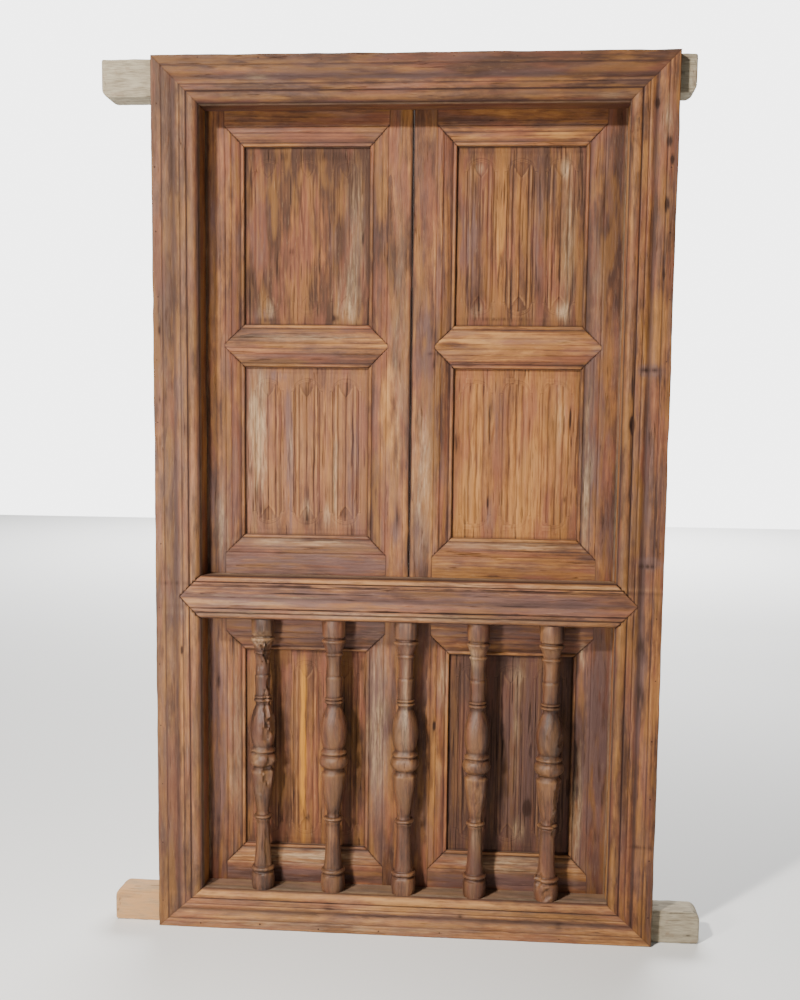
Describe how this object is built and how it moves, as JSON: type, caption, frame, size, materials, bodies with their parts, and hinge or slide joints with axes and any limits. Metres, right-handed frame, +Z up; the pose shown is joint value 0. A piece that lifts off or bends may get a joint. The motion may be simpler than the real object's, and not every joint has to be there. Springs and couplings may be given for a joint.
{
  "type": "wooden balcony",
  "caption": "Old pine balcony window: moulded frame with horns, a transom over turned balusters, and shutter leaves with worn linenfold panels that open inwards.",
  "frame": {"origin": "on the sill's underside, midway between the frame's two outer sides and midway through the depth of its timber", "axes": "+Z up, +X to the right for someone facing the carved front, +Y back through the frame towards the room, so the carved front faces -Y"},
  "size_m": [1.463, 0.124, 2.1],
  "materials": {
    "old_pine": "old wax worn to bare wood, reddish brown with ochre edges and purple-grey patina",
    "raw_pine": "unfinished, weathered pale grey",
    "carved_pine": "carved, worn and patinated, with dark hollows",
    "turned_pine": "turned, greyer brown, chipped and worn"
  },
  "bodies": {
    "frame": {"head": "raw_pine", "sill": "raw_pine", "jamb_left": "old_pine", "jamb_right": "old_pine", "board_top": "old_pine", "board_bottom": "old_pine", "board_left": "old_pine", "board_right": "old_pine", "transom": "old_pine", "baluster_1": "turned_pine", "baluster_2": "turned_pine", "baluster_3": "turned_pine", "baluster_4": "turned_pine", "baluster_5": "turned_pine"},
    "leaf_left": {"left_stile_hanging": "old_pine", "left_stile_meeting": "old_pine", "left_rail_top": "old_pine", "left_rail_middle": "old_pine", "left_rail_lock": "old_pine", "left_rail_bottom": "old_pine", "left_panel_upper": "carved_pine", "left_panel_middle": "carved_pine", "left_panel_lower": "carved_pine"},
    "leaf_right": {"right_stile_hanging": "old_pine", "right_stile_meeting": "old_pine", "right_rail_top": "old_pine", "right_rail_middle": "old_pine", "right_rail_lock": "old_pine", "right_rail_bottom": "old_pine", "right_panel_upper": "carved_pine", "right_panel_middle": "carved_pine", "right_panel_lower": "carved_pine"}
  },
  "joints": [
    {"name": "leaf_left_swing", "type": "hinge", "parent": "frame", "child": "leaf_left", "pos_m": [-0.4942, 0.0225, 0.0855], "axis": [0, 0, 1], "range_deg": [0, 90]},
    {"name": "leaf_right_swing", "type": "hinge", "parent": "frame", "child": "leaf_right", "pos_m": [0.4942, 0.0225, 0.0855], "axis": [0, 0, -1], "range_deg": [0, 90]}
  ]
}
